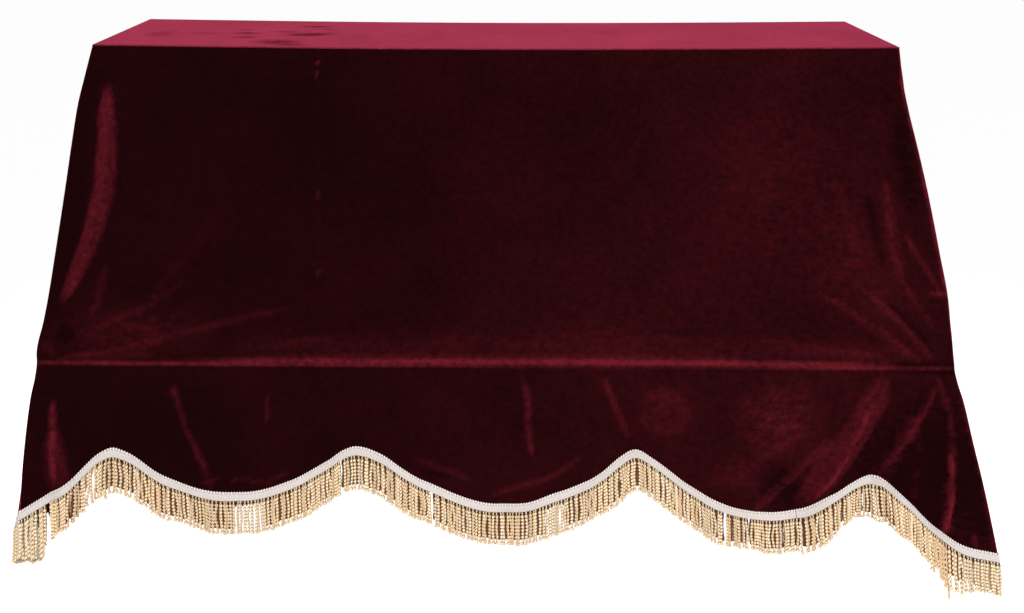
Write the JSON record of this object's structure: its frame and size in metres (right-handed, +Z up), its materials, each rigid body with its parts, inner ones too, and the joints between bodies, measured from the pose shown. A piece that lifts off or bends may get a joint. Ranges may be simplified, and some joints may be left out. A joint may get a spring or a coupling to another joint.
{
  "type": "upright piano cover",
  "caption": "Fitted velvet cover for an upright piano: flat top, front sloping over the key shelf, scalloped skirt with flat braid and cord fringe.",
  "frame": {"origin": "middle of the underside of the top panel, where the cover rests on the piano's lid", "axes": "+X along the keyboard to the player's right, -Y towards the player, +Z up"},
  "size_m": [1.842, 0.7867, 0.9941],
  "materials": {
    "velvet": "cut velvet, dark wine, bright at grazing angles",
    "braid": "woven flat braid, off-white, matt",
    "fringe": "twisted two-ply cord, cream, matt"
  },
  "bodies": {
    "root": {"top_panel": "velvet", "front_panel": "velvet", "side_panel_left": "velvet", "side_panel_right": "velvet", "back_panel": "velvet", "braid_left": "braid", "braid_right": "braid", "fringe_left": "fringe", "fringe_right": "fringe"}
  },
  "joints": []
}
